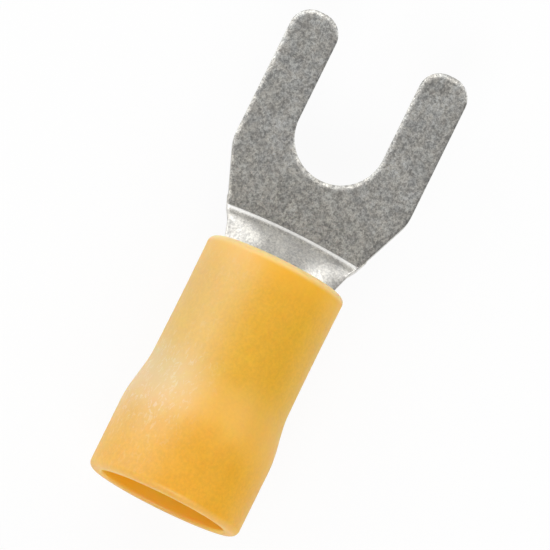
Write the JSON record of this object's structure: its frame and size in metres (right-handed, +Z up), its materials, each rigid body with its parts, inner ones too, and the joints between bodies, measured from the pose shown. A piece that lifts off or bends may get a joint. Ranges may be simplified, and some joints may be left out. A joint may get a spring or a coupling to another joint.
{
  "type": "fork terminal",
  "caption": "Crimp fork terminal: flat forked tongue that slips under a screw head, rolled wire barrel and a yellow insulating sleeve with a flared mouth.",
  "frame": {"origin": "under the middle of the part, on the surface that it lies on", "axes": "+X along the terminal from the wire mouth to the fork tips, +Z up out of the tongue's face on the closed side of the barrel, +Y across the tongue"},
  "size_m": [0.0236, 0.009, 0.0076],
  "materials": {
    "tinned_copper": "matte tin plating over copper, fine speckled grain",
    "yellow_vinyl": "satin moulded vinyl, orange yellow, slightly translucent"
  },
  "bodies": {
    "root": {"fork_terminal": "tinned_copper", "insulating_sleeve": "yellow_vinyl"}
  },
  "joints": []
}
